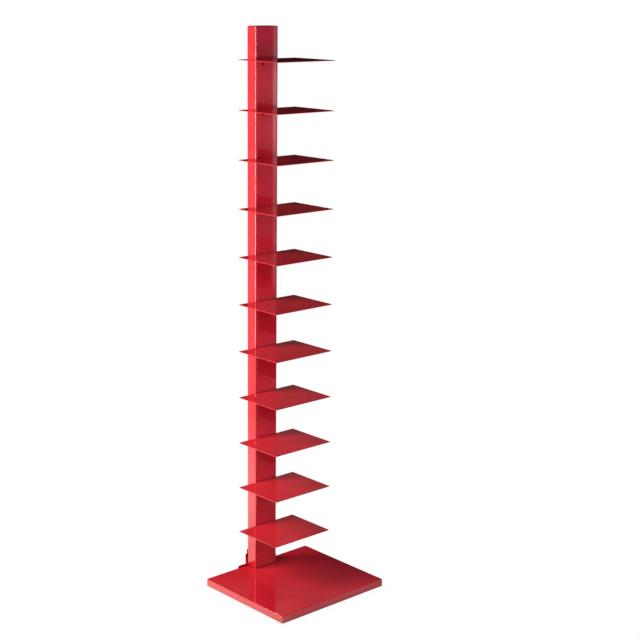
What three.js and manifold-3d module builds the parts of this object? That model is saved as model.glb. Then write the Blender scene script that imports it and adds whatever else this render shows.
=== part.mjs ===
// A spine bookshelf: a slim upright post at the back of a low, nearly square base, with eleven
// small shelves up its front. Books lie flat in a pile on each shelf and hide the post. The post
// comes in two lengths of rectangular steel tube, joined by a channel inside. Each shelf is one
// sheet of steel, with a tab at the back that folds down and is screwed to the post.
//
// Millimetres. +Z is up, the shelves reach out towards -Y, and the floor is at z = 0.

import * as THREE from "three";
import { mergeVertices } from "three/addons/utils/BufferGeometryUtils.js";
import Module from "manifold-3d";

const wasm = await Module();
wasm.setup();

// Clearances: every piece stays a solid of its own beside the piece it seats on.
const seatGap = 0.3;
const holeClearance = 0.3; // round a shank, on the radius
const cutOverrun = 5; // how far a cutting tool reaches past what it cuts

// Base: a shallow steel pan, turned upside down over a board.
const base = {
  width: 400,
  depth: 350,
  edgeHeight: 22,
  sheet: 1.5,
  cornerRadius: 3,
  foldRadius: 2,
  coreRecess: 2.3, // from the pan's lower rim up to the board
};
const pad = { diameter: 28, proud: 1.5, inset: 24 };

// Post: rectangular tube, and the pieces inside it.
const post = { width: 82, depth: 41, wall: 2, cornerRadius: 3, jointGap: 0.4 };
const footPlate = { thickness: 6, boltSpacing: 44 };
const joiner = {
  length: 200,
  wall: 2.5,
  foldRadius: 3.5,
  frontSpace: 5, // left between the channel's edges and the post's front wall
  nearScrew: 32, // height of a screw above or below the joint
  farScrewInset: 24, // from the channel's end to the other screw
};
const cap = { lid: 2, skirtDepth: 12, skirtWall: 1.5 };

// Shelves, counted from the bottom.
const shelfCount = 11;
const lowerShelfCount = 5;
const firstShelfAboveBase = 141;
const shelfPitch = 140.2;
const jointAboveShelf = 90; // from the last shelf of the lower post up to the joint
const postAboveShelf = 90.5; // from the top shelf up to the top of the post
const shelf = { width: 213, depth: 168, sheet: 2, cornerRadius: 1.5 };
const tab = {
  besideScrew: 7,
  belowScrew: 6.5,
  foldRadius: 3.5,
  reliefWidth: 1.2, // the notch that lets the tab fold, at each side of it
  reliefDepth: 4.5,
};

// Rear bracket: an upside-down T of sheet, and a wider clamp plate over its stem.
const bracket = {
  thickness: 1.5,
  footWidth: 152,
  footAboveBase: 6,
  bottomAboveRim: 3.5,
  stemOverhang: 0.75, // past the post's side
  stemAboveBolt: 31,
  cornerRadius: 1,
  baseBoltSpacing: 116,
  postBoltSpacing: 44,
  postBoltAboveBase: 21.5,
};
const clampPlate = { thickness: 1.5, height: 31, overhang: 5, cornerRadius: 1 };

// Fasteners: a low domed head on a plain shank.
const shelfScrew = { shank: 5, head: 8.4, headHeight: 2.6, reach: 6, spacing: 18, drop: 14.5 };
const joinerScrew = { shank: 6, head: 10.6, headHeight: 3.3, reach: 5 };
const bracketBolt = { shank: 6, head: 10.6, headHeight: 3.3, reach: 2, intoCore: 28 };
const nut = { acrossCorners: 11.5, thickness: 5 };
const baseBolt = { shank: 8, head: 18, headHeight: 5, counterboreSpace: 2, counterboreDepth: 8 };
const domeShares = { flat: 0.62, shoulder: 0.45 }; // of the head's radius, and of its height

// How finely round forms are stepped.
const arcSteps = 2;
const foldSteps = 3;
const screwSides = 12;
const nutSides = 6;
const padSides = 32;

// Heights and places that follow from the sizes.
const baseTop = pad.proud + base.edgeHeight;
const baseBack = base.depth / 2;
const coreBottom = pad.proud + base.coreRecess;
const coreTop = baseTop - base.sheet - seatGap;
const coreMiddle = (coreBottom + coreTop) / 2;
const postBottom = baseTop + seatGap;
const postFront = baseBack - post.depth;
const postMiddle = baseBack - post.depth / 2;
const bore = {
  width: post.width - 2 * post.wall,
  depth: post.depth - 2 * post.wall,
  radius: post.cornerRadius - post.wall,
  back: baseBack - post.wall,
};
const shelfTop = (number) => baseTop + firstShelfAboveBase + (number - 1) * shelfPitch;
const jointHeight = shelfTop(lowerShelfCount) + jointAboveShelf;
const farJoinerScrew = joiner.length / 2 - joiner.farScrewInset;
const postTop = shelfTop(shelfCount) + postAboveShelf;
const capBottom = postTop - cap.lid;
const postBoltHeight = baseTop + bracket.postBoltAboveBase;
const bracketBack = baseBack + seatGap + bracket.thickness;
const clampBack = bracketBack + seatGap + clampPlate.thickness;
const rearmost = clampBack + seatGap + bracketBolt.headHeight;

// Finishes
const redPaint = new THREE.MeshStandardMaterial({ color: 0xb81c2c, roughness: 0.28, metalness: 0 });
const zincSteel = new THREE.MeshStandardMaterial({ color: 0xb4b6b8, roughness: 0.4, metalness: 1 });
const board = new THREE.MeshStandardMaterial({ color: 0x9a7a58, roughness: 0.85, metalness: 0 });
const rubber = new THREE.MeshStandardMaterial({ color: 0x1c1c1c, roughness: 0.8, metalness: 0 });

const sides = [
  ["left", -1],
  ["right", 1],
];
const bookshelf = new THREE.Group();

// Adds one named piece, its geometry's own origin at x, y, z.
function place(name, geometry, material, x = 0, y = 0, z = 0) {
  const piece = new THREE.Mesh(geometry, material);
  piece.name = name;
  piece.position.set(x, y, z);
  bookshelf.add(piece);
}

// A closed geometry as a solid that can be joined and cut.
function solid(geometry, x = 0, y = 0, z = 0) {
  const plain = geometry.clone().translate(x, y, z);
  plain.deleteAttribute("normal");
  plain.deleteAttribute("uv");
  const merged = mergeVertices(plain);
  const mesh = new wasm.Mesh({
    numProp: 3,
    vertProperties: merged.attributes.position.array,
    triVerts: new Uint32Array(merged.index.array),
  });
  return new wasm.Manifold(mesh);
}

// A solid as a geometry again.
function geometryOf(shape) {
  const mesh = shape.getMesh();
  const geometry = new THREE.BufferGeometry();
  geometry.setAttribute("position", new THREE.BufferAttribute(mesh.vertProperties, 3));
  geometry.setIndex(new THREE.BufferAttribute(mesh.triVerts, 1));
  geometry.computeVertexNormals();
  return geometry;
}

// Traces a rectangle with rounded corners round (0, middle).
function roundedRectangle(width, height, radius, middle = 0, outline = new THREE.Shape()) {
  const x = width / 2 - radius;
  const y = height / 2 - radius;
  const corners = [
    [x, y],
    [-x, y],
    [-x, -y],
    [x, -y],
  ];
  corners.forEach(([cornerX, cornerY], quarter) => {
    const start = (quarter * Math.PI) / 2;
    outline.absarc(cornerX, middle + cornerY, radius, start, start + Math.PI / 2, false);
  });
  outline.closePath();
  return outline;
}

// A flat outline pulled straight up.
function extrude(outline, height) {
  const settings = { depth: height, bevelEnabled: false, curveSegments: arcSteps };
  return new THREE.ExtrudeGeometry(outline, settings);
}

// Stands a flat plate up: its outline's y becomes the height, and its thickness runs to -Y.
function standUp(geometry) {
  return geometry.rotateX(Math.PI / 2);
}

// Turns an outline's x and y into the part's y and z, with its length along +X.
function alongX(geometry) {
  const turn = new THREE.Matrix4().makeBasis(
    new THREE.Vector3(0, 1, 0),
    new THREE.Vector3(0, 0, 1),
    new THREE.Vector3(1, 0, 0),
  );
  return geometry.applyMatrix4(turn);
}

// A hole that runs along Y, from one y to another, with the overrun at both ends.
function holeAlongY(radius, x, z, front, back) {
  const length = back - front + 2 * cutOverrun;
  const rod = new THREE.CylinderGeometry(radius, radius, length, screwSides);
  return solid(rod, x, (front + back) / 2, z);
}

// A hole that runs along Z, from one height to another, with the overrun at both ends.
function holeAlongZ(radius, x, y, bottom, top) {
  const length = top - bottom + 2 * cutOverrun;
  const rod = new THREE.CylinderGeometry(radius, radius, length, screwSides);
  return solid(rod.rotateX(Math.PI / 2), x, y, (bottom + top) / 2);
}

// The radius of the hole that clears a screw.
function holeFor(screw) {
  return screw.shank / 2 + holeClearance;
}

// A screw along Y: its head rises to -Y from y = 0, and its shank runs to y = length.
function screwGeometry(screw, length) {
  const headRadius = screw.head / 2;
  const profile = [
    new THREE.Vector2(0, -screw.headHeight),
    new THREE.Vector2(headRadius * domeShares.flat, -screw.headHeight),
    new THREE.Vector2(headRadius, -screw.headHeight * domeShares.shoulder),
    new THREE.Vector2(headRadius, 0),
    new THREE.Vector2(screw.shank / 2, 0),
    new THREE.Vector2(screw.shank / 2, length),
    new THREE.Vector2(0, length),
  ];
  return new THREE.LatheGeometry(profile, screwSides);
}

// Base

// The pan: a top with folded edges all round, open underneath, and holes for its bolts.
function panGeometry() {
  const outline = roundedRectangle(
    base.width - 2 * base.foldRadius,
    base.depth - 2 * base.foldRadius,
    base.cornerRadius - base.foldRadius,
  );
  const block = new THREE.ExtrudeGeometry(outline, {
    depth: base.edgeHeight,
    bevelThickness: base.foldRadius,
    bevelSize: base.foldRadius,
    bevelSegments: foldSteps,
    curveSegments: arcSteps,
  });
  const underRim = new THREE.BoxGeometry(
    base.width + cutOverrun,
    base.depth + cutOverrun,
    base.edgeHeight,
  );
  const hollow = roundedRectangle(
    base.width - 2 * base.sheet,
    base.depth - 2 * base.sheet,
    base.cornerRadius - base.sheet,
  );
  const hollowBlock = extrude(hollow, base.edgeHeight - base.sheet + cutOverrun);
  let pan = solid(block, 0, 0, baseTop - base.edgeHeight - base.foldRadius)
    .subtract(solid(underRim, 0, 0, pad.proud - base.edgeHeight / 2))
    .subtract(solid(hollowBlock, 0, 0, pad.proud - cutOverrun));
  for (const [, side] of sides) {
    const boltX = (side * footPlate.boltSpacing) / 2;
    const edgeX = (side * bracket.baseBoltSpacing) / 2;
    const edgeFront = baseBack - base.sheet;
    pan = pan
      .subtract(holeAlongZ(holeFor(baseBolt), boltX, postMiddle, coreTop, baseTop))
      .subtract(holeAlongY(holeFor(bracketBolt), edgeX, coreMiddle, edgeFront, baseBack));
  }
  return geometryOf(pan);
}

// The board inside the pan, counterbored from below for the two bolts that hold the post.
const boltShoulder = coreBottom + baseBolt.counterboreDepth;

function coreGeometry() {
  const inset = base.sheet + seatGap;
  const outline = roundedRectangle(
    base.width - 2 * inset,
    base.depth - 2 * inset,
    base.cornerRadius - base.sheet,
  );
  const counterbore = baseBolt.head / 2 + baseBolt.counterboreSpace;
  const pilotEnd = baseBack - bracketBolt.intoCore - seatGap + cutOverrun;
  let core = solid(extrude(outline, coreTop - coreBottom), 0, 0, coreBottom);
  for (const [, side] of sides) {
    const boltX = (side * footPlate.boltSpacing) / 2;
    const edgeX = (side * bracket.baseBoltSpacing) / 2;
    const shoulder = boltShoulder - cutOverrun;
    core = core
      .subtract(holeAlongZ(holeFor(baseBolt), boltX, postMiddle, coreBottom, coreTop))
      .subtract(holeAlongZ(counterbore, boltX, postMiddle, coreBottom, shoulder))
      .subtract(holeAlongY(holeFor(bracketBolt), edgeX, coreMiddle, pilotEnd, baseBack));
  }
  return geometryOf(core);
}

place("base_pan", panGeometry(), redPaint);
place("base_core", coreGeometry(), board);

const padHeight = coreBottom - seatGap;
for (const [end, lengthwise] of [
  ["front", -1],
  ["rear", 1],
]) {
  for (const [hand, side] of sides) {
    const radius = pad.diameter / 2;
    const disc = new THREE.CylinderGeometry(radius, radius, padHeight, padSides);
    place(
      `foot_pad_${end}_${hand}`,
      disc.rotateX(Math.PI / 2),
      rubber,
      side * (base.width / 2 - pad.inset),
      lengthwise * (base.depth / 2 - pad.inset),
      padHeight / 2,
    );
  }
}

// Post

// One length of tube, drilled in front for its shelves and behind for what bolts on there.
function postGeometry(bottom, top, shelfTops, rearHoles) {
  const outline = roundedRectangle(post.width, post.depth, post.cornerRadius);
  outline.holes.push(roundedRectangle(bore.width, bore.depth, bore.radius, 0, new THREE.Path()));
  const boreFront = postFront + post.wall;
  let tube = solid(extrude(outline, top - bottom), 0, postMiddle, bottom);
  for (const height of shelfTops) {
    for (const [, side] of sides) {
      const x = (side * shelfScrew.spacing) / 2;
      const z = height - shelfScrew.drop;
      tube = tube.subtract(holeAlongY(holeFor(shelfScrew), x, z, postFront, boreFront));
    }
  }
  for (const [screw, x, z] of rearHoles) {
    tube = tube.subtract(holeAlongY(holeFor(screw), x, z, bore.back, baseBack));
  }
  return geometryOf(tube);
}

const shelfTops = Array.from({ length: shelfCount }, (_, index) => shelfTop(index + 1));
const postBoltHoles = sides.map(([, side]) => [
  bracketBolt,
  (side * bracket.postBoltSpacing) / 2,
  postBoltHeight,
]);
place(
  "post_lower",
  postGeometry(postBottom, jointHeight - post.jointGap / 2, shelfTops.slice(0, lowerShelfCount), [
    ...postBoltHoles,
    [joinerScrew, 0, jointHeight - joiner.nearScrew],
    [joinerScrew, 0, jointHeight - farJoinerScrew],
  ]),
  redPaint,
);
place(
  "post_upper",
  postGeometry(
    jointHeight + post.jointGap / 2,
    capBottom - seatGap,
    shelfTops.slice(lowerShelfCount),
    [
      [joinerScrew, 0, jointHeight + joiner.nearScrew],
      [joinerScrew, 0, jointHeight + farJoinerScrew],
    ],
  ),
  redPaint,
);

// The plate welded into the foot of the post, which the bolts from below screw into.
function footPlateGeometry() {
  const outline = roundedRectangle(bore.width - 2 * seatGap, bore.depth - 2 * seatGap, bore.radius);
  const top = postBottom + footPlate.thickness;
  let plate = solid(extrude(outline, footPlate.thickness), 0, postMiddle, postBottom);
  for (const [, side] of sides) {
    const x = (side * footPlate.boltSpacing) / 2;
    plate = plate.subtract(holeAlongZ(holeFor(baseBolt), x, postMiddle, postBottom, top));
  }
  return geometryOf(plate);
}

place("post_foot_plate", footPlateGeometry(), zincSteel);

const baseBoltSeat = boltShoulder - seatGap;
const baseBoltLength = postBottom + footPlate.thickness - baseBoltSeat;
for (const [hand, side] of sides) {
  place(
    `base_bolt_${hand}`,
    screwGeometry(baseBolt, baseBoltLength).rotateX(Math.PI / 2),
    zincSteel,
    (side * footPlate.boltSpacing) / 2,
    postMiddle,
    baseBoltSeat,
  );
}

// The channel inside the joint: its web lies on the post's back wall and it is open in front.
function joinerGeometry() {
  const halfWidth = bore.width / 2 - seatGap;
  const back = bore.back - seatGap;
  const front = bore.back - bore.depth + joiner.frontSpace;
  const bottom = jointHeight - joiner.length / 2;
  const outer = joiner.foldRadius;
  const inner = joiner.foldRadius - joiner.wall;
  const cornerX = halfWidth - outer;
  const cornerY = back - outer;
  const outline = new THREE.Shape();
  outline.moveTo(-halfWidth, front);
  outline.absarc(-cornerX, cornerY, outer, Math.PI, Math.PI / 2, true);
  outline.absarc(cornerX, cornerY, outer, Math.PI / 2, 0, true);
  outline.lineTo(halfWidth, front);
  outline.lineTo(halfWidth - joiner.wall, front);
  outline.absarc(cornerX, cornerY, inner, 0, Math.PI / 2, false);
  outline.absarc(-cornerX, cornerY, inner, Math.PI / 2, Math.PI, false);
  outline.lineTo(joiner.wall - halfWidth, front);
  outline.closePath();
  let channel = solid(extrude(outline, joiner.length), 0, 0, bottom);
  for (const height of [joiner.nearScrew, farJoinerScrew]) {
    for (const z of [jointHeight - height, jointHeight + height]) {
      channel = channel.subtract(holeAlongY(holeFor(joinerScrew), 0, z, back - joiner.wall, back));
    }
  }
  return geometryOf(channel);
}

place("post_joiner", joinerGeometry(), zincSteel);

const joinerScrewLength = 2 * seatGap + post.wall + joiner.wall + joinerScrew.reach;
const joinerScrewHeights = {
  lower_far: -farJoinerScrew,
  lower_near: -joiner.nearScrew,
  upper_near: joiner.nearScrew,
  upper_far: farJoinerScrew,
};
for (const [label, height] of Object.entries(joinerScrewHeights)) {
  place(
    `joiner_screw_${label}`,
    screwGeometry(joinerScrew, joinerScrewLength).rotateZ(Math.PI),
    zincSteel,
    0,
    baseBack + seatGap,
    jointHeight + height,
  );
}

// The cap that closes the top: a lid as wide as the post, with a short skirt inside it.
function capGeometry() {
  const lid = roundedRectangle(post.width, post.depth, post.cornerRadius);
  const skirtWidth = bore.width - 2 * seatGap;
  const skirtDepth = bore.depth - 2 * seatGap;
  const skirt = roundedRectangle(skirtWidth, skirtDepth, bore.radius);
  const well = roundedRectangle(
    skirtWidth - 2 * cap.skirtWall,
    skirtDepth - 2 * cap.skirtWall,
    bore.radius,
  );
  const bottom = capBottom - cap.skirtDepth;
  const skirtBlock = extrude(skirt, cap.skirtDepth + cap.lid / 2);
  const wellBlock = extrude(well, cap.skirtDepth + cutOverrun);
  const shape = solid(extrude(lid, cap.lid), 0, postMiddle, capBottom)
    .add(solid(skirtBlock, 0, postMiddle, bottom))
    .subtract(solid(wellBlock, 0, postMiddle, bottom - cutOverrun));
  return geometryOf(shape);
}

place("post_top_cap", capGeometry(), redPaint);

// Rear bracket

// An upside-down T: its foot is bolted to the base's back edge and its stem to the post.
function bracketGeometry() {
  const bottom = pad.proud + bracket.bottomAboveRim;
  const plates = [
    [bracket.footWidth, baseTop + bracket.footAboveBase],
    [post.width + 2 * bracket.stemOverhang, postBoltHeight + bracket.stemAboveBolt],
  ];
  const [foot, stem] = plates.map(([width, top]) => {
    const middle = (top + bottom) / 2;
    const outline = roundedRectangle(width, top - bottom, bracket.cornerRadius, middle);
    return solid(standUp(extrude(outline, bracket.thickness)), 0, bracketBack);
  });
  const bolts = [
    [bracket.baseBoltSpacing, coreMiddle],
    [bracket.postBoltSpacing, postBoltHeight],
  ];
  const front = baseBack + seatGap;
  let shape = foot.add(stem);
  for (const [spacing, height] of bolts) {
    for (const [, side] of sides) {
      const x = (side * spacing) / 2;
      shape = shape.subtract(holeAlongY(holeFor(bracketBolt), x, height, front, bracketBack));
    }
  }
  return geometryOf(shape);
}

// The plate that spreads the pull of the two post bolts over the stem.
function clampGeometry() {
  const outline = roundedRectangle(
    post.width + 2 * clampPlate.overhang,
    clampPlate.height,
    clampPlate.cornerRadius,
    postBoltHeight,
  );
  const front = bracketBack + seatGap;
  let plate = solid(standUp(extrude(outline, clampPlate.thickness)), 0, clampBack);
  for (const [, side] of sides) {
    const x = (side * bracket.postBoltSpacing) / 2;
    plate = plate.subtract(holeAlongY(holeFor(bracketBolt), x, postBoltHeight, front, clampBack));
  }
  return geometryOf(plate);
}

// A nut: a six-sided ring with its back face at y = 0.
function nutGeometry() {
  const radius = nut.acrossCorners / 2;
  const blank = new THREE.CylinderGeometry(radius, radius, nut.thickness, nutSides);
  const ring = solid(blank, 0, -nut.thickness / 2);
  return geometryOf(ring.subtract(holeAlongY(holeFor(bracketBolt), 0, 0, -nut.thickness, 0)));
}

place("rear_bracket", bracketGeometry(), redPaint);
place("rear_clamp_plate", clampGeometry(), redPaint);

// Two bolts go through the clamp plate to nuts inside the post, and two go into the board.
const postBoltSeat = clampBack + seatGap;
const nutBack = bore.back - seatGap;
const postBoltLength = postBoltSeat - nutBack + nut.thickness + bracketBolt.reach;
const boardBoltSeat = bracketBack + seatGap;
const boardBoltLength = boardBoltSeat - baseBack + bracketBolt.intoCore;
for (const [hand, side] of sides) {
  const postBoltX = (side * bracket.postBoltSpacing) / 2;
  place(
    `bracket_bolt_post_${hand}`,
    screwGeometry(bracketBolt, postBoltLength).rotateZ(Math.PI),
    zincSteel,
    postBoltX,
    postBoltSeat,
    postBoltHeight,
  );
  place(`bracket_nut_${hand}`, nutGeometry(), zincSteel, postBoltX, nutBack, postBoltHeight);
  place(
    `bracket_bolt_base_${hand}`,
    screwGeometry(bracketBolt, boardBoltLength).rotateZ(Math.PI),
    zincSteel,
    (side * bracket.baseBoltSpacing) / 2,
    boardBoltSeat,
    coreMiddle,
  );
}

// Shelves

// One shelf: its top is at z = 0, its back edge at y = 0, and its tab folds down behind.
function shelfGeometry() {
  const tabWidth = shelfScrew.spacing + 2 * tab.besideScrew;
  const tabBottom = -shelfScrew.drop - tab.belowScrew;
  const tabFront = -tab.reliefDepth - shelf.sheet;
  const outer = tab.foldRadius;
  const inner = tab.foldRadius - shelf.sheet;
  const outline = roundedRectangle(shelf.width, shelf.depth, shelf.cornerRadius, -shelf.depth / 2);
  const notch = new THREE.BoxGeometry(
    tabWidth + 2 * tab.reliefWidth,
    2 * tab.reliefDepth,
    2 * shelf.sheet + cutOverrun,
  );

  // The fold from the side: the profile's x is the part's y, and its y is the height.
  const profile = new THREE.Shape();
  profile.moveTo(tabFront, 0);
  profile.absarc(-outer, -outer, outer, Math.PI / 2, 0, true);
  profile.lineTo(0, tabBottom);
  profile.lineTo(-shelf.sheet, tabBottom);
  profile.absarc(-outer, -outer, inner, 0, Math.PI / 2, false);
  profile.lineTo(tabFront, -shelf.sheet);
  profile.closePath();

  let shape = solid(extrude(outline, shelf.sheet), 0, 0, -shelf.sheet)
    .subtract(solid(notch))
    .add(solid(alongX(extrude(profile, tabWidth)), -tabWidth / 2));
  for (const [, side] of sides) {
    const x = (side * shelfScrew.spacing) / 2;
    const hole = holeAlongY(holeFor(shelfScrew), x, -shelfScrew.drop, -shelf.sheet, 0);
    shape = shape.subtract(hole);
  }
  return geometryOf(shape);
}

const shelfBack = postFront - seatGap;
const shelfScrewSeat = shelfBack - shelf.sheet - seatGap;
const shelfScrewLength = postFront + post.wall + shelfScrew.reach - shelfScrewSeat;
shelfTops.forEach((height, index) => {
  const number = String(index + 1).padStart(2, "0");
  place(`shelf_${number}`, shelfGeometry(), redPaint, 0, shelfBack, height);
  for (const [hand, side] of sides) {
    place(
      `shelf_screw_${number}_${hand}`,
      screwGeometry(shelfScrew, shelfScrewLength),
      redPaint,
      (side * shelfScrew.spacing) / 2,
      shelfScrewSeat,
      height - shelfScrew.drop,
    );
  }
});

// The origin is on the floor, under the middle of the whole part.
bookshelf.position.y = (baseBack - rearmost) / 2;

export default bookshelf;
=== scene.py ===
# Spine bookshelf: a glossy red steel post on a low base, with eleven small shelves up its front.
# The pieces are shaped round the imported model, in metres, with +Z up and the shelves towards -Y.

import math

import bmesh
import bpy
from mathutils import Euler, Matrix, Vector


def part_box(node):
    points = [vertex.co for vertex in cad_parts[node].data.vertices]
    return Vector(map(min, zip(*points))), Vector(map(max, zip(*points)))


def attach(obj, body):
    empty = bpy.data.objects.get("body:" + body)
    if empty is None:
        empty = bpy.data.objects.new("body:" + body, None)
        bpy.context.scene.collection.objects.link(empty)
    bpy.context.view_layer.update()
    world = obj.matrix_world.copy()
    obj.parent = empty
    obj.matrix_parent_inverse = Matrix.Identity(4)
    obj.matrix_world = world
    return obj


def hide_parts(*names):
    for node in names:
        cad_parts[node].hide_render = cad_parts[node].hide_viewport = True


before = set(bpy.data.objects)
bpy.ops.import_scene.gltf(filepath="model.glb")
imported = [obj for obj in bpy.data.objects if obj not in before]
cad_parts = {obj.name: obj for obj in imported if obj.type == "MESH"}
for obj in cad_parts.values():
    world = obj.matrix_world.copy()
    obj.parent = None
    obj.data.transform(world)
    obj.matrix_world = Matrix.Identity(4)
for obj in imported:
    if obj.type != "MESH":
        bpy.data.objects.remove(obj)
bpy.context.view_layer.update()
mm = 0.001
near = 1 * mm  # a point this close to a level is on it
facing = 0.99  # a direction with this much of an axis in it lies along that axis
overrun = 1 * mm  # how far a cutter goes past the face that it cuts
shelfCount = 11
hands = ("left", "right")
print("frame loaded:", len(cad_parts), "nodes")


# Shaping

def pieceName(node):
    # a node's name, such as foot_pad_rear_left, in the way that the pieces are named
    first, *rest = node.split("_")
    return first + "".join(word.title() for word in rest)


def selectNothing():
    bpy.ops.object.select_all(action="DESELECT")


def useOnly(piece):
    selectNothing()
    piece.select_set(True)
    bpy.context.view_layer.objects.active = piece


def addBlock(name, low, high):
    # a box from corner to corner, with its place in its mesh
    selectNothing()
    bpy.ops.mesh.primitive_cube_add(size=1, location=(low + high) / 2)
    block = bpy.context.active_object
    block.scale = high - low
    bpy.ops.object.transform_apply(location=True, rotation=True, scale=True)
    block.name = block.data.name = name
    return block


def addRod(name, sides, radius, start, length):
    # an upright cylinder that stands on its start, with its place in its mesh
    selectNothing()
    middle = start + Vector((0, 0, length / 2))
    bpy.ops.mesh.primitive_cylinder_add(vertices=sides, radius=radius, depth=length, location=middle)
    bpy.ops.object.transform_apply(location=True, rotation=True, scale=True)
    rod = bpy.context.active_object
    rod.name = rod.data.name = name
    return rod


def openEdit(piece):
    useOnly(piece)
    bpy.ops.object.mode_set(mode="EDIT")
    bpy.ops.mesh.select_all(action="DESELECT")


def closeEdit():
    bpy.ops.object.mode_set(mode="OBJECT")


def pickFaces(piece, test):
    # selects the faces whose middle and normal pass the test, and nothing else
    bpy.ops.mesh.select_mode(type="FACE")
    bpy.ops.mesh.select_all(action="DESELECT")
    mesh = bmesh.from_edit_mesh(piece.data)
    for face in mesh.faces:
        if test(face.calc_center_median(), face.normal):
            face.select_set(True)
    bmesh.update_edit_mesh(piece.data)


def pickEdges(piece, test):
    # selects the edges whose two ends pass the test, and nothing else
    bpy.ops.mesh.select_mode(type="EDGE")
    bpy.ops.mesh.select_all(action="DESELECT")
    mesh = bmesh.from_edit_mesh(piece.data)
    for edge in mesh.edges:
        if test(edge.verts[0].co, edge.verts[1].co):
            edge.select_set(True)
    bmesh.update_edit_mesh(piece.data)


def isUpright(first, second):
    # whether the edge between two points runs along Z
    span = second - first
    return abs(span.z) > facing * span.length


def runsBack(first, second):
    # whether the edge between two points runs along Y
    span = second - first
    return abs(span.y) > facing * span.length


def bevelEdges(piece, test, radius, steps):
    pickEdges(piece, test)
    bpy.ops.mesh.bevel(offset=radius, segments=steps, affect="EDGES")


def cutAcross(places):
    # cuts the whole mesh through at each place along X
    for x in places:
        bpy.ops.mesh.select_all(action="SELECT")
        bpy.ops.mesh.bisect(plane_co=(x, 0, 0), plane_no=(1, 0, 0))


def extrudeBy(shift):
    bpy.ops.mesh.extrude_region_move(TRANSFORM_OT_translate={"value": shift})


def useModifier(piece, kind, **settings):
    # adds a modifier with its settings and applies it
    useOnly(piece)
    modifier = piece.modifiers.new(kind.title(), kind)
    for setting, value in settings.items():
        setattr(modifier, setting, value)
    bpy.ops.object.modifier_apply(modifier=modifier.name)


def giveWall(piece, thickness):
    # the wall grows inwards from the faces
    useModifier(piece, "SOLIDIFY", thickness=thickness, offset=-1, use_even_offset=True)


def cutWith(piece, cutters):
    # takes each cutter out of the piece
    for cutter in cutters:
        useModifier(piece, "BOOLEAN", operation="DIFFERENCE", object=cutter, solver="EXACT")
        bpy.data.objects.remove(cutter)


rounding = {
    "steps": 2,
    "roundFrom": 40,  # degrees between two faces, from where the edge between them is rounded
    "smoothUpTo": 50,  # degrees between two faces, up to where they are shaded as one
    "areaWeight": 100,  # above 50, large faces keep their own shading
}


def smooth(piece):
    # shades the bends round and keeps the flat faces flat
    useOnly(piece)
    bpy.ops.object.shade_smooth_by_angle(angle=math.radians(rounding["smoothUpTo"]))
    useModifier(
        piece, "WEIGHTED_NORMAL", mode="FACE_AREA", weight=rounding["areaWeight"], keep_sharp=True
    )


def soften(piece, radius):
    # rounds every edge that is sharper than a bend's own steps
    useModifier(
        piece,
        "BEVEL",
        width=radius,
        segments=rounding["steps"],
        limit_method="ANGLE",
        angle_limit=math.radians(rounding["roundFrom"]),
    )
    smooth(piece)


def copyTo(piece, name, shift):
    twin = piece.copy()
    twin.data = piece.data.copy()
    twin.name = twin.data.name = name
    twin.data.transform(Matrix.Translation(shift))
    bpy.context.scene.collection.objects.link(twin)
    return twin


def settle(piece, material, slotName, *nodes):
    # the piece takes its finish, rides on the part and stands for its nodes
    piece.data.materials.clear()
    piece.data.materials.append(material)
    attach(piece, "root")
    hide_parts(*nodes)


# Materials

def linearColour(hexCode):
    # a "#rrggbb" colour as the linear values that Blender's sockets take
    channels = [int(hexCode[place:place + 2], 16) / 255 for place in (1, 3, 5)]
    linear = [c / 12.92 if c <= 0.04045 else ((c + 0.055) / 1.055) ** 2.4 for c in channels]
    return (*linear, 1.0)


def patternScale(size):
    # a pattern's scale from the size in mm of what it repeats
    return 1 / (size * mm)


def addNode(tree, kind, settings=None, links=None):
    # adds a node: settings are its own properties or socket values, links are its incoming sockets
    node = tree.nodes.new(kind)
    for label, value in (settings or {}).items():
        if hasattr(node, label):
            setattr(node, label, value)
        else:
            node.inputs[label].default_value = value
    for label, socket in (links or {}).items():
        tree.links.new(socket, node.inputs[label])
    return node


def setRamp(node, stops):
    # the ramp's stops as (place, colour)
    elements = node.color_ramp.elements
    while len(elements) < len(stops):
        elements.new(1.0)
    for element, (place, shade) in zip(elements, stops):
        element.position = place
        element.color = shade


def blendColours(node, span, fromHex, toHex):
    # the ramp runs from one colour to the other over a span of the pattern's values
    setRamp(node, [(span[0], linearColour(fromHex)), (span[1], linearColour(toHex))])


def setTones(node, tones, first, last):
    # the ramp's greys as (place, brightness), the places measured from first to last
    setRamp(node, [((place - first) / (last - first), (w, w, w, 1)) for place, w in tones])


def startMaterial(name):
    material = bpy.data.materials.new(name)
    material.use_nodes = True
    tree = material.node_tree
    shader = tree.nodes["Principled BSDF"]
    place = addNode(tree, "ShaderNodeTexCoord").outputs["Object"]
    return material, tree, shader, place


# Gloss enamel over steel sheet, sprayed and baked: a deep even red under a clear hard skin. The
# skin reflects sharply, with the faint ripple called orange peel. Where two pieces meet, the red
# is darkened into a thin line of painted shade, deepest where a point is most closed in.
glossEnamel = {
    "red": "#d8233a",
    "deepRed": "#ce2036",
    "ior": 1.5,
    "skinRoughness": 0.05,
    "cloudSize": 90,  # mm, of the slow change of colour
    "cloudDetail": 2,
    "cloudSpan": (0.35, 0.65),  # of the clouds' values, from deepRed to red
    "peelSize": 3.5,  # mm, one ripple
    "peelDetail": 1,
    "peelHeight": 0.0012,  # mm
    # the next four values shape the thin line of painted shade where pieces meet
    "jointShadeReach": 5,  # mm from the joint
    "jointShadeSpan": (0.5, 0.9),  # share of open space around a point, from the darkest line to none
    "jointShadeDark": 0.3,  # brightness left where the line is darkest
    "jointShadeSamples": 8,
}


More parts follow.
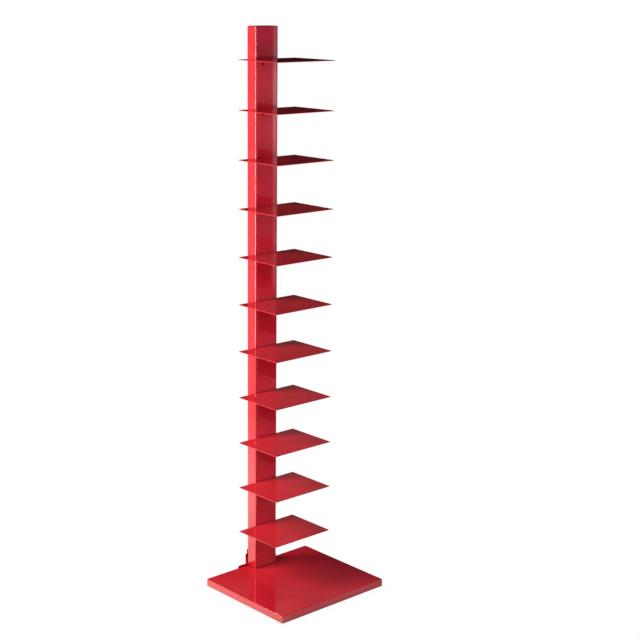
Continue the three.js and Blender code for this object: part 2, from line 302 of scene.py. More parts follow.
def makeGlossEnamel():
    values = glossEnamel
    material, tree, shader, place = startMaterial("glossRedEnamel")
    clouds = addNode(
        tree,
        "ShaderNodeTexNoise",
        {"Scale": patternScale(values["cloudSize"]), "Detail": values["cloudDetail"]},
        {"Vector": place},
    )
    tint = addNode(tree, "ShaderNodeValToRGB", {}, {"Fac": clouds.outputs["Fac"]})
    blendColours(tint, values["cloudSpan"], values["deepRed"], values["red"])
    # painted shade: the red is darkened where a point is closed in by a meeting piece
    joint = addNode(
        tree,
        "ShaderNodeAmbientOcclusion",
        {"Distance": values["jointShadeReach"] * mm, "samples": values["jointShadeSamples"]},
    )
    darkest, clear = values["jointShadeSpan"]
    dustAndShade = addNode(
        tree,
        "ShaderNodeMapRange",
        {"From Min": darkest, "From Max": clear, "To Min": values["jointShadeDark"], "To Max": 1.0},
        {"Value": joint.outputs["AO"]},
    )
    dusty = addNode(tree, "ShaderNodeVectorMath", {"operation": "SCALE"})
    tree.links.new(tint.outputs["Color"], dusty.inputs[0])
    tree.links.new(dustAndShade.outputs["Result"], dusty.inputs["Scale"])
    tree.links.new(dusty.outputs["Vector"], shader.inputs["Base Color"])
    peel = addNode(
        tree,
        "ShaderNodeTexNoise",
        {"Scale": patternScale(values["peelSize"]), "Detail": values["peelDetail"]},
        {"Vector": place},
    )
    ripple = addNode(
        tree,
        "ShaderNodeBump",
        {"Strength": 1.0, "Distance": values["peelHeight"] * mm},
        {"Height": peel.outputs["Fac"]},
    )
    tree.links.new(ripple.outputs["Normal"], shader.inputs["Normal"])
    shader.inputs["Roughness"].default_value = values["skinRoughness"]
    shader.inputs["IOR"].default_value = values["ior"]
    return material


# Zinc-plated and clear-passivated steel: bluish grey metal with a soft, slightly patchy sheen.
zincPlate = {
    "bright": "#c6c9cc",
    "dull": "#a9acb0",
    "patchSize": 5,  # mm, of the plating's patches
    "patchDetail": 4,
    "patchSpan": (0.3, 0.7),  # of the patches' values, from dull to bright
    "rough": 0.42,
    "smooth": 0.26,
    "grainSize": 0.6,  # mm, drawn coarser than the plating's own grain so that it shows
    "grainDetail": 2,
    "grainHeight": 0.01,  # mm
}


def makeZincPlate():
    values = zincPlate
    material, tree, shader, place = startMaterial("zincPlatedSteel")
    patches = addNode(
        tree,
        "ShaderNodeTexNoise",
        {"Scale": patternScale(values["patchSize"]), "Detail": values["patchDetail"]},
        {"Vector": place},
    )
    tint = addNode(tree, "ShaderNodeValToRGB", {}, {"Fac": patches.outputs["Fac"]})
    blendColours(tint, values["patchSpan"], values["dull"], values["bright"])
    tree.links.new(tint.outputs["Color"], shader.inputs["Base Color"])
    sheen = addNode(
        tree,
        "ShaderNodeMapRange",
        {"To Min": values["smooth"], "To Max": values["rough"]},
        {"Value": patches.outputs["Fac"]},
    )
    tree.links.new(sheen.outputs["Result"], shader.inputs["Roughness"])
    grain = addNode(
        tree,
        "ShaderNodeTexNoise",
        {"Scale": patternScale(values["grainSize"]), "Detail": values["grainDetail"]},
        {"Vector": place},
    )
    bump = addNode(
        tree,
        "ShaderNodeBump",
        {"Strength": 1.0, "Distance": values["grainHeight"] * mm},
        {"Height": grain.outputs["Fac"]},
    )
    tree.links.new(bump.outputs["Normal"], shader.inputs["Normal"])
    shader.inputs["Metallic"].default_value = 1.0
    return material


# Medium-density fibreboard, sawn and left bare: matt brown felted fibres with darker flecks.
fibreboard = {
    "light": "#b08c62",
    "dark": "#8f6c48",
    "fleck": "#6a4b30",
    "roughness": 0.82,
    "cloudSize": 30,  # mm
    "cloudDetail": 3,
    "cloudSpan": (0.3, 0.7),  # of the clouds' values, from dark to light
    "fibreSize": 1.6,  # mm, drawn coarser than the fibres so that they show
    "fibreDetail": 5,
    "fibreHeight": 0.06,  # mm
    "fleckSpan": (0.58, 0.72),  # of the fibres' values, from no fleck to a full one
}


def makeFibreboard():
    values = fibreboard
    material, tree, shader, place = startMaterial("bareFibreboard")
    clouds = addNode(
        tree,
        "ShaderNodeTexNoise",
        {"Scale": patternScale(values["cloudSize"]), "Detail": values["cloudDetail"]},
        {"Vector": place},
    )
    tone = addNode(tree, "ShaderNodeValToRGB", {}, {"Fac": clouds.outputs["Fac"]})
    blendColours(tone, values["cloudSpan"], values["dark"], values["light"])
    fibres = addNode(
        tree,
        "ShaderNodeTexNoise",
        {"Scale": patternScale(values["fibreSize"]), "Detail": values["fibreDetail"]},
        {"Vector": place},
    )
    none, full = values["fleckSpan"]
    flecks = addNode(
        tree,
        "ShaderNodeMapRange",
        {"From Min": none, "From Max": full},
        {"Value": fibres.outputs["Fac"]},
    )
    mixed = addNode(tree, "ShaderNodeMix", {"data_type": "RGBA"})
    tree.links.new(flecks.outputs["Result"], mixed.inputs[0])
    tree.links.new(tone.outputs["Color"], mixed.inputs[6])
    mixed.inputs[7].default_value = linearColour(values["fleck"])
    tree.links.new(mixed.outputs[2], shader.inputs["Base Color"])
    bump = addNode(
        tree,
        "ShaderNodeBump",
        {"Strength": 1.0, "Distance": values["fibreHeight"] * mm},
        {"Height": fibres.outputs["Fac"]},
    )
    tree.links.new(bump.outputs["Normal"], shader.inputs["Normal"])
    shader.inputs["Roughness"].default_value = values["roughness"]
    return material


# Moulded black rubber: matt, with a fine pebbled skin and a little dust in it.
padRubber = {
    "black": "#1b1b1c",
    "dusty": "#2a2a2a",
    "roughness": 0.7,
    "dustSize": 6,  # mm
    "dustDetail": 3,
    "dustSpan": (0.4, 0.75),  # of the dust's values, from black to dusty
    "pebbleSize": 0.9,  # mm
    "pebbleHeight": 0.05,  # mm
}


def makePadRubber():
    values = padRubber
    material, tree, shader, place = startMaterial("mouldedRubber")
    dustAndShade = addNode(
        tree,
        "ShaderNodeTexNoise",
        {"Scale": patternScale(values["dustSize"]), "Detail": values["dustDetail"]},
        {"Vector": place},
    )
    tone = addNode(tree, "ShaderNodeValToRGB", {}, {"Fac": dustAndShade.outputs["Fac"]})
    blendColours(tone, values["dustSpan"], values["black"], values["dusty"])
    tree.links.new(tone.outputs["Color"], shader.inputs["Base Color"])
    pebbles = addNode(
        tree,
        "ShaderNodeTexVoronoi",
        {"Scale": patternScale(values["pebbleSize"])},
        {"Vector": place},
    )
    bump = addNode(
        tree,
        "ShaderNodeBump",
        {"Strength": 1.0, "Distance": values["pebbleHeight"] * mm},
        {"Height": pebbles.outputs["Distance"]},
    )
    tree.links.new(bump.outputs["Normal"], shader.inputs["Normal"])
    shader.inputs["Roughness"].default_value = values["roughness"]
    return material


red = makeGlossEnamel()
zinc = makeZincPlate()
board = makeFibreboard()
rubber = makePadRubber()
print("materials made")


# Base

pan = {
    "sheet": 1.5 * mm,
    "cornerRadius": 3 * mm,
    "foldRadius": 2 * mm,
    "bendSteps": 6,
    "rimRadius": 0.3 * mm,
}


def makePan():
    low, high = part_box("base_pan")
    piece = addBlock("basePan", low, high)
    openEdit(piece)
    bevelEdges(piece, isUpright, pan["cornerRadius"], pan["bendSteps"])
    bevelEdges(piece, lambda a, b: min(a.z, b.z) > high.z - near, pan["foldRadius"], pan["bendSteps"])
    pickFaces(piece, lambda middle, normal: normal.z < -facing)
    bpy.ops.mesh.delete(type="FACE")
    closeEdit()
    giveWall(piece, pan["sheet"])
    soften(piece, pan["rimRadius"])
    settle(piece, red, "red_paint", "base_pan")


# The bolts that hold the post from under the base. The board is bored for their heads and shanks.
baseBolt = {
    "sides": 40, "head": 18 * mm, "headHeight": 5 * mm, "dome": 2.4 * mm, "shank": 8 * mm,
    "socket": 7 * mm, "socketDepth": 2.8 * mm, "edgeRadius": 0.2 * mm,
}
boardCore = {
    "cornerRadius": 1.5 * mm,
    "cornerSteps": 4,
    "edgeRadius": 0.4 * mm,
    "boreSides": 48,
    "counterbore": 22 * mm,
    "bore": 8.6 * mm,
    "seatGap": 0.3 * mm,  # between a bolt's head and the shoulder of its bore
}


def makeBoard():
    low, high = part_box("base_core")
    piece = addBlock("baseBoard", low, high)
    openEdit(piece)
    bevelEdges(piece, isUpright, boardCore["cornerRadius"], boardCore["cornerSteps"])
    closeEdit()
    sides = boardCore["boreSides"]
    cutters = []
    for hand in hands:
        boltLow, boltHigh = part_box("base_bolt_" + hand)
        middle = (boltLow + boltHigh) / 2
        shoulder = boltLow.z + baseBolt["headHeight"] + boardCore["seatGap"]
        below = Vector((middle.x, middle.y, low.z - overrun))
        cutters.append(addRod("counterbore", sides, boardCore["counterbore"] / 2, below, shoulder - below.z))
        cutters.append(addRod("bore", sides, boardCore["bore"] / 2, below, high.z + overrun - below.z))
    cutWith(piece, cutters)
    soften(piece, boardCore["edgeRadius"])
    settle(piece, board, "core_board", "base_core")


footPad = {
    "sides": 48,
    "rimRadius": 0.8 * mm,
    "rimSteps": 3,
    "smoothUpTo": 35,  # degrees
    "grooves": 3,
    "groovePitch": 3.4 * mm,
    "grooveDepth": 0.6 * mm,
    "landShare": 0.6,  # of the pitch, flat before each groove
    "slopeShare": 0.1,  # of the pitch, each side of a groove
    "floorShare": 0.2,  # of the pitch, the floor of a groove
}


def makePad():
    low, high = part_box("foot_pad_front_left")
    middle = (low + high) / 2
    start = Vector((middle.x, middle.y, low.z))
    piece = addRod("footPadFrontLeft", footPad["sides"], (high.x - low.x) / 2, start, high.z - low.z)
    openEdit(piece)
    bevelEdges(
        piece,
        lambda a, b: max(a.z, b.z) < low.z + near,
        footPad["rimRadius"],
        footPad["rimSteps"],
    )
    pickFaces(piece, lambda middle, normal: normal.z < -facing)
    for groove in range(footPad["grooves"]):
        bpy.ops.mesh.inset(thickness=footPad["groovePitch"] * footPad["landShare"])
        bpy.ops.mesh.inset(thickness=footPad["groovePitch"] * footPad["slopeShare"])
        extrudeBy((0, 0, footPad["grooveDepth"]))
        bpy.ops.mesh.inset(thickness=footPad["groovePitch"] * footPad["floorShare"])
        extrudeBy((0, 0, -footPad["grooveDepth"]))
        bpy.ops.mesh.inset(thickness=footPad["groovePitch"] * footPad["slopeShare"])
    closeEdit()
    useOnly(piece)
    bpy.ops.object.shade_smooth_by_angle(angle=math.radians(footPad["smoothUpTo"]))
    return piece


def makePads():
    first = makePad()
    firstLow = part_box("foot_pad_front_left")[0]
    for end in ("front", "rear"):
        for hand in hands:
            node = "foot_pad_" + end + "_" + hand
            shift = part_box(node)[0] - firstLow
            twin = first if node == "foot_pad_front_left" else copyTo(first, pieceName(node), shift)
            settle(twin, rubber, "pad_rubber", node)


makePan()
makeBoard()
makePads()
print("base made")


# Post

tube = {"wall": 2 * mm, "cornerRadius": 4 * mm, "bendSteps": 8, "rimRadius": 0.6 * mm}


def makeTube(node):
    low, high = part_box(node)
    piece = addBlock(pieceName(node), low, high)
    openEdit(piece)
    bevelEdges(piece, isUpright, tube["cornerRadius"], tube["bendSteps"])
    pickFaces(piece, lambda middle, normal: abs(normal.z) > facing)
    bpy.ops.mesh.delete(type="FACE")
    closeEdit()
    giveWall(piece, tube["wall"])
    soften(piece, tube["rimRadius"])
    settle(piece, red, "red_paint", node)


postCap = {
    "lid": 2 * mm,
    "edgeRadius": 0.5 * mm,
    "edgeSteps": 3,
    "skirtGap": 2.3 * mm,  # from the lid's side in to the skirt
    "skirtWall": 1.5 * mm,
}


def makeCap():
    # a lid on the post's end, with a skirt that goes down inside
    low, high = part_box("post_top_cap")
    lidLow = Vector((low.x, low.y, high.z - postCap["lid"]))
    piece = addBlock("postTopCap", lidLow, high)
    openEdit(piece)
    bevelEdges(piece, isUpright, tube["cornerRadius"], tube["bendSteps"])
    bevelEdges(piece, lambda a, b: not isUpright(a, b), postCap["edgeRadius"], postCap["edgeSteps"])
    pickFaces(piece, lambda middle, normal: normal.z < -facing)
    bpy.ops.mesh.inset(thickness=postCap["skirtGap"] - postCap["edgeRadius"])
    extrudeBy((0, 0, low.z - lidLow.z))
    bpy.ops.mesh.inset(thickness=postCap["skirtWall"])
    extrudeBy((0, 0, lidLow.z - low.z))
    closeEdit()
    smooth(piece)
    settle(piece, red, "red_paint", "post_top_cap")


makeTube("post_lower")
makeTube("post_upper")
makeCap()
print("post made")


# Shelves

shelf = {
    "sheet": 2 * mm,
    "cornerRadius": 1.5 * mm,
    "cornerSteps": 5,
    "edgeRadius": 0.35 * mm,
    "tabWidth": 32 * mm,
    "foldRadius": 3.5 * mm,
    "foldSteps": 8,
    "reliefWidth": 1.2 * mm,
    "reliefDepth": 4.5 * mm,
    "weld": 0.01 * mm,  # points this close are merged
}


def makeShelf():
    # the sheet is added short by the notches' depth, so that its back edge can be drawn out
    # beside the tab
    low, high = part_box("shelf_01")
    back = high.y - shelf["reliefDepth"]
    halfTab = shelf["tabWidth"] / 2
    halfNotch = halfTab + shelf["reliefWidth"]
    foldStart = high.z - shelf["foldRadius"]
    sheetLow = Vector((low.x, low.y, high.z - shelf["sheet"]))
    piece = addBlock("shelf01", sheetLow, Vector((high.x, back, high.z)))
    openEdit(piece)
    cutAcross((-halfNotch, -halfTab, halfTab, halfNotch))
    pickFaces(piece, lambda middle, normal: normal.y > facing and abs(middle.x) > halfNotch)
    extrudeBy((0, shelf["reliefDepth"], 0))
    bevelEdges(
        piece,
        lambda a, b: isUpright(a, b) and abs(a.x) > high.x - near,
        shelf["cornerRadius"],
        shelf["cornerSteps"],
    )
    pickFaces(piece, lambda middle, normal: normal.y > facing and abs(middle.x) < halfTab)
    extrudeBy((0, shelf["reliefDepth"] - shelf["foldRadius"], 0))
    bpy.ops.mesh.spin(
        steps=shelf["foldSteps"],
        angle=math.radians(90),
        center=(0, high.y - shelf["foldRadius"], foldStart),
        axis=(-1, 0, 0),
    )
    extrudeBy((0, 0, low.z - foldStart))
    bpy.ops.mesh.select_all(action="SELECT")
    bpy.ops.mesh.remove_doubles(threshold=shelf["weld"])
    bpy.ops.mesh.normals_make_consistent(inside=False)
    closeEdit()
    soften(piece, shelf["edgeRadius"])
    return piece


def makeShelves():
    first = makeShelf()
    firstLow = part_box("shelf_01")[0]
    for number in range(1, shelfCount + 1):
        node = f"shelf_{number:02d}"
        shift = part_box(node)[0] - firstLow
        twin = first if number == 1 else copyTo(first, pieceName(node), shift)
        settle(twin, red, "red_paint", node)


makeShelves()
print("shelves made")


# Screws

shelfScrew = {
    "sides": 32, "head": 8.4 * mm, "headHeight": 2.6 * mm, "dome": 1.7 * mm, "shank": 5 * mm,
    "socket": 3.4 * mm, "socketDepth": 1.4 * mm, "edgeRadius": 0.12 * mm,
}
plateBolt = {
    "sides": 32, "head": 10.6 * mm, "headHeight": 3.3 * mm, "dome": 2.1 * mm, "shank": 6 * mm,
    "socket": 4.6 * mm, "socketDepth": 1.8 * mm, "edgeRadius": 0.15 * mm,
}
screwHead = {"domeSteps": 5, "socketSides": 6}


def makeScrew(name, size, seat, length, toward):
    # a domed head with a six-sided socket, modelled head down under the origin, then turned and
    # moved to its seat
    headStart = Vector((0, 0, -size["headHeight"]))
    piece = addRod(name, size["sides"], size["head"] / 2, headStart, size["headHeight"])
    openEdit(piece)
    bevelEdges(
        piece,
        lambda a, b: max(a.z, b.z) < headStart.z + near,
        size["dome"],
        screwHead["domeSteps"],
    )
    pickFaces(piece, lambda middle, normal: normal.z > facing)
    bpy.ops.mesh.inset(thickness=(size["head"] - size["shank"]) / 2)
    extrudeBy((0, 0, length))
    closeEdit()
    socketStart = Vector((0, 0, -size["headHeight"] - overrun))
    socketLength = overrun + size["socketDepth"]
    socket = addRod("socket", screwHead["socketSides"], size["socket"] / 2, socketStart, socketLength)
    cutWith(piece, [socket])
    soften(piece, size["edgeRadius"])
    turn = {"+Z": 0, "+Y": -90, "-Y": 90}[toward]
    piece.data.transform(Matrix.Translation(seat) @ Matrix.Rotation(math.radians(turn), 4, "X"))
    return piece


def screwPlace(node, size, toward):
    # the middle of the head's seat, and the shank's length, from the node's box
    low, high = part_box(node)
    axis = "XYZ".index(toward[1])
    seat = (low + high) / 2
    if toward[0] == "+":
        seat[axis] = low[axis] + size["headHeight"]
    else:
        seat[axis] = high[axis] - size["headHeight"]
    return seat, high[axis] - low[axis] - size["headHeight"]


def makeScrews(nodes, size, toward, material, slotName):
    # the first screw is modelled, and the others are copies of it
    firstSeat, length = screwPlace(nodes[0], size, toward)
    first = makeScrew(pieceName(nodes[0]), size, firstSeat, length, toward)
    settle(first, material, slotName, nodes[0])
    for node in nodes[1:]:
        seat = screwPlace(node, size, toward)[0]
        twin = copyTo(first, pieceName(node), seat - firstSeat)
        settle(twin, material, slotName, node)


shelfNumbers = range(1, shelfCount + 1)
shelfScrewNodes = [f"shelf_screw_{number:02d}_{hand}" for number in shelfNumbers for hand in hands]
joinerPlaces = ("lower_far", "lower_near", "upper_near", "upper_far")
makeScrews(shelfScrewNodes, shelfScrew, "+Y", red, "red_paint")
makeScrews(["joiner_screw_" + place for place in joinerPlaces], plateBolt, "-Y", zinc, "zinc_steel")
makeScrews(["bracket_bolt_post_" + hand for hand in hands], plateBolt, "-Y", zinc, "zinc_steel")
makeScrews(["bracket_bolt_base_" + hand for hand in hands], plateBolt, "-Y", zinc, "zinc_steel")
makeScrews(["base_bolt_" + hand for hand in hands], baseBolt, "+Z", zinc, "zinc_steel")
print("screws made")


# Rear bracket

plate = {
    "footAboveBase": 6 * mm,
    "stemOverhang": 0.75 * mm,  # past the post's side
    "cornerRadius": 1 * mm,
    "cornerSteps": 6,
    "edgeRadius": 0.3 * mm,
}


def makeBracket():
    # a wide foot, with a narrower stem up the back of the post
    low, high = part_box("rear_bracket")
    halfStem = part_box("post_lower")[1].x + plate["stemOverhang"]
    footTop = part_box("base_pan")[1].z + plate["footAboveBase"]
    piece = addBlock("rearBracket", low, Vector((high.x, high.y, footTop)))
    openEdit(piece)
    cutAcross((-halfStem, halfStem))
    pickFaces(piece, lambda middle, normal: normal.z > facing and abs(middle.x) < halfStem)
    extrudeBy((0, 0, high.z - footTop))
    bevelEdges(
        piece,
        lambda a, b: runsBack(a, b) and (abs(a.x) > high.x - near or a.z > high.z - near),
        plate["cornerRadius"],
        plate["cornerSteps"],
    )
    closeEdit()
    soften(piece, plate["edgeRadius"])
    settle(piece, red, "red_paint", "rear_bracket")


def makeClampPlate():
    low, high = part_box("rear_clamp_plate")
    piece = addBlock("rearClampPlate", low, high)
    openEdit(piece)
    bevelEdges(piece, runsBack, plate["cornerRadius"], plate["cornerSteps"])
    closeEdit()
    soften(piece, plate["edgeRadius"])
    settle(piece, red, "red_paint", "rear_clamp_plate")


makeBracket()
makeClampPlate()
# the pieces inside the post stay as imported, and only take their finish
for node in ("post_foot_plate", "post_joiner", "bracket_nut_left", "bracket_nut_right"):
    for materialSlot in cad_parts[node].material_slots:
        materialSlot.material = zinc
print("bracket made")


# Studio

floorValues = {
    "size": 12,
    "below": 0.2 * mm,
    "grey": "#e6e6e6",
    "contactReach": 60 * mm,
    "contactDark": 0.93,
    "contactSamples": 8,
    # painted light: a pool of light glows from the floor round this place, seen only in reflections
    "glowPlace": (-0.6, 0.7, 0),  # reflections see the floor brightest round here
    "glowReach": 0.95,
    "glow": 1.08,
    # painted light: x minus y in metres, and the brightness that reflections see glowing from the floor there
    "sweep": [(-0.5, 1.0), (-0.37, 1.45), (-0.08, 1.5), (0.05, 0.42), (0.4, 0.46), (0.8, 0.03)],
    "shadeStart": 0.45,  # x minus y in metres, from where reflections see the floor's paint darkened as painted shade
    "shadeEnd": 0.8,
    "shadeGrey": 0.08,
}


def makeFloor():
    # the camera sees white with a faint shadow, reflections see a painted sweep and pool of light that
    # glow from the floor, over its paint darkened as painted shade, and light meets pale paint
    selectNothing()
    bpy.ops.mesh.primitive_plane_add(size=floorValues["size"], location=(0, 0, -floorValues["below"]))
    floor = bpy.context.active_object
    floor.name = "floor"
    material = bpy.data.materials.new("paleFloor")
    material.use_nodes = True
    tree = material.node_tree
    tree.nodes.clear()
    place = addNode(tree, "ShaderNodeTexCoord").outputs["Object"]
    path = addNode(tree, "ShaderNodeLightPath")
    grey = linearColour(floorValues["grey"])
    paint = addNode(tree, "ShaderNodeBsdfDiffuse", {"Color": grey})

    contact = addNode(
        tree,
        "ShaderNodeAmbientOcclusion",
        {"Distance": floorValues["contactReach"], "samples": floorValues["contactSamples"]},
    )
    shade = addNode(
        tree,
        "ShaderNodeMapRange",
        {"To Min": floorValues["contactDark"], "To Max": 1.0},
        {"Value": contact.outputs["AO"]},
    )
    white = addNode(tree, "ShaderNodeEmission", {}, {"Strength": shade.outputs["Result"]})

    # painted light: a sweep across the floor and a pool of brightness, glowing for reflections only
    axes = addNode(tree, "ShaderNodeSeparateXYZ", {}, {"Vector": place})
    across = addNode(tree, "ShaderNodeMath", {"operation": "SUBTRACT"})
    tree.links.new(axes.outputs["X"], across.inputs[0])
    tree.links.new(axes.outputs["Y"], across.inputs[1])
    first, last = floorValues["sweep"][0][0], floorValues["sweep"][-1][0]
    share = addNode(
        tree,
        "ShaderNodeMapRange",
        {"From Min": first, "From Max": last},
        {"Value": across.outputs["Value"]},
    )
    sweep = addNode(tree, "ShaderNodeValToRGB", {}, {"Fac": share.outputs["Result"]})
    setTones(sweep, floorValues["sweep"], first, last)
    away = addNode(tree, "ShaderNodeVectorMath", {"operation": "DISTANCE"})
    tree.links.new(place, away.inputs[0])
    away.inputs[1].default_value = floorValues["glowPlace"]
    pool = addNode(
        tree,
        "ShaderNodeMapRange",
        {
            "interpolation_type": "SMOOTHSTEP",
            "From Max": floorValues["glowReach"],
            "To Min": floorValues["glow"],
            "To Max": 0.0,
        },
        {"Value": away.outputs["Value"]},
    )
    both = addNode(tree, "ShaderNodeMath", {"operation": "ADD"})
    tree.links.new(sweep.outputs["Color"], both.inputs[0])
    tree.links.new(pool.outputs["Result"], both.inputs[1])
    shine = addNode(tree, "ShaderNodeEmission", {}, {"Strength": both.outputs["Value"]})
    # painted shade: reflections see the floor's paint darker towards +X and -Y
    reflectedShade = addNode(
        tree,
        "ShaderNodeMapRange",
        {
            "From Min": floorValues["shadeStart"],
            "From Max": floorValues["shadeEnd"],
            "To Min": grey[0],
            "To Max": floorValues["shadeGrey"],
        },
        {"Value": across.outputs["Value"]},
    )
    shadedPaint = addNode(tree, "ShaderNodeBsdfDiffuse", {}, {"Color": reflectedShade.outputs["Result"]})
    shineAndPaint = addNode(tree, "ShaderNodeAddShader")
    tree.links.new(shine.outputs["Emission"], shineAndPaint.inputs[0])
    tree.links.new(shadedPaint.outputs["BSDF"], shineAndPaint.inputs[1])

    reflected = addNode(tree, "ShaderNodeMixShader", {}, {"Fac": path.outputs["Is Glossy Ray"]})
    tree.links.new(paint.outputs["BSDF"], reflected.inputs[1])
    tree.links.new(shineAndPaint.outputs["Shader"], reflected.inputs[2])
    seen = addNode(tree, "ShaderNodeMixShader", {}, {"Fac": path.outputs["Is Camera Ray"]})
    tree.links.new(reflected.outputs["Shader"], seen.inputs[1])
    tree.links.new(white.outputs["Emission"], seen.inputs[2])
    addNode(tree, "ShaderNodeOutputMaterial", {}, {"Surface": seen.outputs["Shader"]})
    floor.data.materials.append(material)


surroundings = {"room": 0.035, "backdrop": 1.0}  # brightness


def makeWorld():
    # the camera and the reflections see a white backdrop, and the rest a dim room
    world = bpy.data.worlds.new("studio")
    bpy.context.scene.world = world
    world.use_nodes = True
    tree = world.node_tree
    tree.nodes.clear()
    white = (1, 1, 1, 1)
    room = addNode(tree, "ShaderNodeBackground", {"Color": white, "Strength": surroundings["room"]})
    backdrop = addNode(tree, "ShaderNodeBackground", {"Color": white, "Strength": surroundings["backdrop"]})
    path = addNode(tree, "ShaderNodeLightPath")
    seen = addNode(tree, "ShaderNodeMath", {"operation": "MAXIMUM"})
    tree.links.new(path.outputs["Is Camera Ray"], seen.inputs[0])
    tree.links.new(path.outputs["Is Glossy Ray"], seen.inputs[1])
    through = addNode(tree, "ShaderNodeMath", {"operation": "MAXIMUM"})
    tree.links.new(seen.outputs["Value"], through.inputs[0])
    tree.links.new(path.outputs["Is Transmission Ray"], through.inputs[1])
    mixed = addNode(tree, "ShaderNodeMixShader", {}, {"Fac": through.outputs["Value"]})
    tree.links.new(room.outputs["Background"], mixed.inputs[1])
    tree.links.new(backdrop.outputs["Background"], mixed.inputs[2])
    addNode(tree, "ShaderNodeOutputWorld", {}, {"Surface": mixed.outputs["Shader"]})


# Soft boxes: places and sizes in metres, power in watts
warm = (1, 0.95, 0.55)
cool = (0.82, 0.82, 1)
lamps = {
    "keyBox": {
        "place": (-1.1, 0.7, 1.25), "target": (0, 0.7, 1.25), "size": (0.6, 0.8),
        "power": 28, "tint": warm,
    },
    "lowBox": {
        "place": (-1.1, 0.05, 0.65), "target": (0, 0.05, 0.65), "size": (0.6, 0.4),
        "power": 7.2, "tint": warm,
    },
    "frontBox": {
        "place": (0.1, -1.9, 1.45), "target": (0.1, 0, 1.45), "size": (1.0, 1.4),
        "power": 24.8, "tint": cool,
    },
}


def addLamp(name, values):
    # a soft box that faces its target, hidden from the reflections, which see the cloths instead
    data = bpy.data.lights.new(name, "AREA")
    data.color = values["tint"]
    data.shape = "RECTANGLE"
    data.size, data.size_y = values["size"]
    data.energy = values["power"]
    lamp = bpy.data.objects.new(name, data)
    bpy.context.scene.collection.objects.link(lamp)
    aim = Vector(values["target"]) - Vector(values["place"])
    lamp.location = values["place"]
    lamp.rotation_euler = aim.to_track_quat("-Z", "Y").to_euler()
    lamp.visible_camera = False
    lamp.visible_glossy = False


# Curved cloths round the shelves: radius in metres, angles in degrees from +X, heights in metres,
# and tones as (height in metres, brightness)
frontTones = [(0, 0.1), (0.57, 0.12), (0.92, 0.34), (1.43, 0.5)]
cloths = {
    "clothRight": {
        "radius": 0.95, "angles": (5, 95), "heights": (0, 2.6),
        "tones": [
            (0, 0.02), (0.35, 0.03), (0.4, 0.05), (0.5, 0.15), (0.6, 0.16), (0.85, 0.098),
            (1.07, 0.042), (1.4, 0.012), (1.6, 0.006),
        ],
    },
    "clothFront": {"radius": 0.95, "angles": (-150, -55), "heights": (0, 2.6), "tones": frontTones},
    "clothSide": {"radius": 0.95, "angles": (-30, 5), "heights": (0, 2.6), "tones": frontTones},
    "clothFar": {
        "radius": 5.9, "angles": (-60, -35), "heights": (0, 3.6),
        "tones": [
            (0.04, 0.31), (0.39, 0.27), (0.74, 0.43), (1.09, 0.44), (1.39, 0.23), (1.75, 0.05),
            (1.87, 0.12), (1.94, 0.03), (2.01, 0.05), (2.08, 0.12), (2.15, 0.6), (2.22, 0.95),
            (2.28, 1.2), (2.35, 1.3), (2.5, 1.4), (2.6, 1.15),
        ],
    },
    "stripRight": {
        "radius": 0.824, "angles": (-41.6, -38), "heights": (0.6, 2.6),
        "tones": [
            (0.6, 0.5), (0.76, 0.8), (0.93, 0.8), (1.1, 0.9), (1.27, 1.8), (1.44, 1.8),
            (1.587, 1.1), (1.7, 1.1),
        ],
    },
    "bandRight": {
        "radius": 0.82, "angles": (-42.1, -41.7), "heights": (0.6, 2.6),
        "tones": [
            (0.6, 0.5), (0.7, 0.8), (0.8, 3.0), (0.9, 1.0), (1.1, 1.5), (1.27, 4.6), (1.44, 4.6),
            (1.587, 1.8), (1.7, 1.8),
        ],
    },
    "lineLeft": {
        "radius": 0.82, "angles": (-46.3, -46.05), "heights": (0, 0.6),
        "tones": [(0, 0.35), (0.25, 0.8), (0.6, 0.85)],
    },
    "cornerStrip": {
        "radius": 2.95, "angles": (140, 172), "heights": (0, 1.6),
        "tones": [(0, 18), (0.6, 22), (1.6, 22)],
    },
    "clothLeft": {
        "radius": 3.0, "angles": (105, 155), "heights": (0, 2.6),
        "tones": [
            (0, 0.85), (0.33, 0.8), (0.57, 0.77), (0.82, 0.73), (1.06, 0.7), (1.3, 0.64),
            (1.5, 0.57),
        ],
    },
}
clothStrip = 5  # degrees, about one flat strip of a cloth's curve


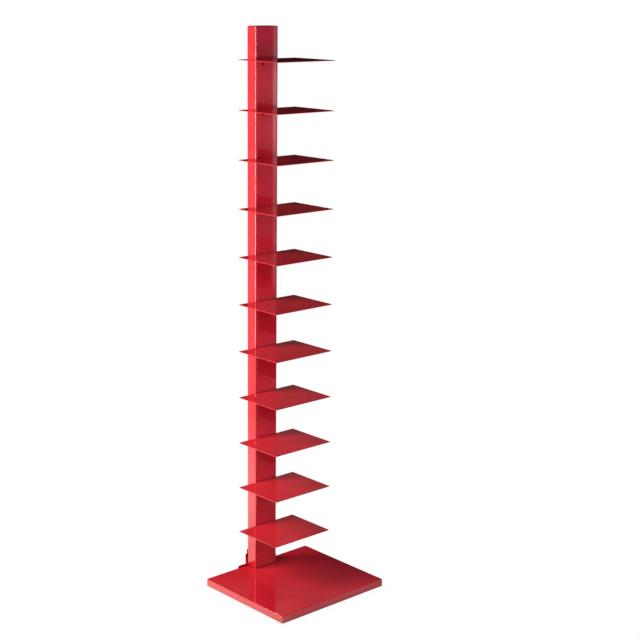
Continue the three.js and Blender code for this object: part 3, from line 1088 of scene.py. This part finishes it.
def addCloth(name, values):
    # a tall curved cloth that glows and that only reflections see
    radius = values["radius"]
    firstAngle, lastAngle = values["angles"]
    bottom, top = values["heights"]
    steps = max(1, round((lastAngle - firstAngle) / clothStrip))
    angles = [math.radians(firstAngle + (lastAngle - firstAngle) * step / steps) for step in range(steps + 1)]
    low = [Vector((radius * math.cos(a), radius * math.sin(a), bottom)) for a in angles]
    high = [point + Vector((0, 0, top - bottom)) for point in low]
    count = len(angles)
    faces = [(i, i + 1, count + i + 1, count + i) for i in range(count - 1)]
    mesh = bpy.data.meshes.new(name)
    mesh.from_pydata(low + high, [], faces)
    cloth = bpy.data.objects.new(name, mesh)
    bpy.context.scene.collection.objects.link(cloth)
    cloth.visible_camera = False
    cloth.visible_diffuse = False
    cloth.visible_shadow = False
    material = bpy.data.materials.new(name)
    material.use_nodes = True
    material.cycles.emission_sampling = "NONE"  # it lights nothing, so it isn't sampled as a lamp
    tree = material.node_tree
    tree.nodes.clear()
    place = addNode(tree, "ShaderNodeTexCoord").outputs["Object"]
    axes = addNode(tree, "ShaderNodeSeparateXYZ", {}, {"Vector": place})
    share = addNode(
        tree,
        "ShaderNodeMapRange",
        {"From Min": bottom, "From Max": top},
        {"Value": axes.outputs["Z"]},
    )
    tone = addNode(tree, "ShaderNodeValToRGB", {}, {"Fac": share.outputs["Result"]})
    setTones(tone, values["tones"], bottom, top)
    glow = addNode(tree, "ShaderNodeEmission", {}, {"Color": tone.outputs["Color"]})
    addNode(tree, "ShaderNodeOutputMaterial", {}, {"Surface": glow.outputs["Emission"]})
    mesh.materials.append(material)


makeFloor()
makeWorld()
for name, values in lamps.items():
    addLamp(name, values)
for name, values in cloths.items():
    addCloth(name, values)
print("studio made")


# Camera

camera = {
    "place": (-2.63545, -2.97049, 1.76947),
    "yaw": 42.587,  # degrees from +Y towards +X
    "pitch": -13.341,
    "roll": 0.651,
    "lens": 79.333,  # mm
    "sensor": 36,  # mm wide
}


def makeCamera():
    data = bpy.data.cameras.new("camera")
    data.lens = camera["lens"]
    data.sensor_width = camera["sensor"]
    view = bpy.data.objects.new("camera", data)
    bpy.context.scene.collection.objects.link(view)
    aim = Euler((math.radians(90 + camera["pitch"]), 0, math.radians(-camera["yaw"]))).to_matrix()
    view.rotation_euler = (aim @ Matrix.Rotation(math.radians(camera["roll"]), 3, "Z")).to_euler()
    view.location = camera["place"]
    bpy.context.scene.camera = view


makeCamera()
bpy.context.scene.view_settings.view_transform = "Standard"
print("camera made")
